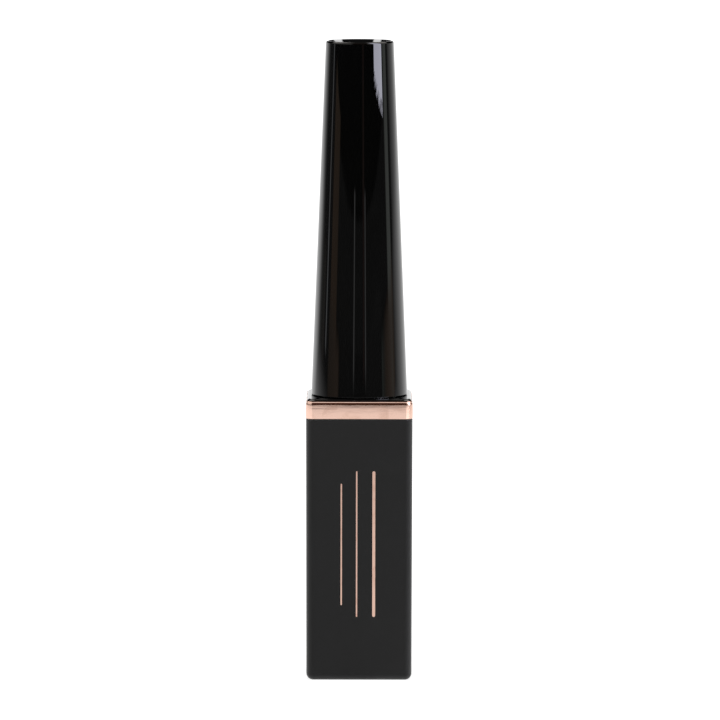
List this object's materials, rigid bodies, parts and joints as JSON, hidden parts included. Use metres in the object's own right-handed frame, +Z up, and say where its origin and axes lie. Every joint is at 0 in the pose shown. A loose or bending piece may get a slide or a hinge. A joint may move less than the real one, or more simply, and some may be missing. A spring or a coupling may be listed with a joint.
{
  "type": "liquid eyeliner bottle",
  "caption": "Square matte liquid eyeliner bottle with a metal trim ring, an inner vial with a wiper, and a tall tapered round screw cap that carries a dip brush.",
  "frame": {"origin": "centre of the base, on the face that the bottle stands on", "axes": "+Z up the bottle towards the cap's top, -Y out of the face that the picture shows, +X to that face's right"},
  "size_m": [0.0154, 0.0154, 0.0914],
  "materials": {
    "matte_black": "soft-touch matte",
    "rose_gold": "bright rose-gold anodised",
    "gloss_black": "piano gloss",
    "clear_resin": "clear moulded, tinted by the ink",
    "soft_resin": "soft natural polyethylene",
    "moulded_black": "plain moulded black",
    "seal_foam": "closed-cell foam",
    "steel": "polished stainless",
    "bristle": "fine nylon bristles"
  },
  "bodies": {
    "bottle": {"outer_case": "matte_black", "collar": "rose_gold", "shoulder": "gloss_black", "inner_vial": "clear_resin", "wiper": "soft_resin"},
    "ball": {"mixing_ball": "steel"},
    "seal": {"seal_washer": "seal_foam"},
    "applicator": {"stem": "moulded_black", "brush_ferrule": "steel", "brush_tuft": "bristle"},
    "cap": {"cap_shell": "gloss_black", "cap_insert": "moulded_black"}
  },
  "joints": [
    {"name": "wand_withdraw", "type": "slide", "parent": "bottle", "child": "seal", "axis": [0, 0, 1], "range_m": [0, 0.048]},
    {"name": "cap_rise", "type": "slide", "parent": "seal", "child": "applicator", "axis": [0, 0, 1], "range_m": [0, 0.0025]},
    {"name": "cap_turn", "type": "hinge", "parent": "applicator", "child": "cap", "pos_m": [0, 0, 0.0406], "axis": [0, 0, 1], "range_deg": [0, 450]},
    {"name": "ball_roll", "type": "slide", "parent": "bottle", "child": "ball", "axis": [0, 0, 1], "range_m": [0, 0.027]}
  ],
  "couplings": [
    {"joint": "cap_rise", "follows": "cap_turn", "m_per_rad": 0.00031831}
  ]
}
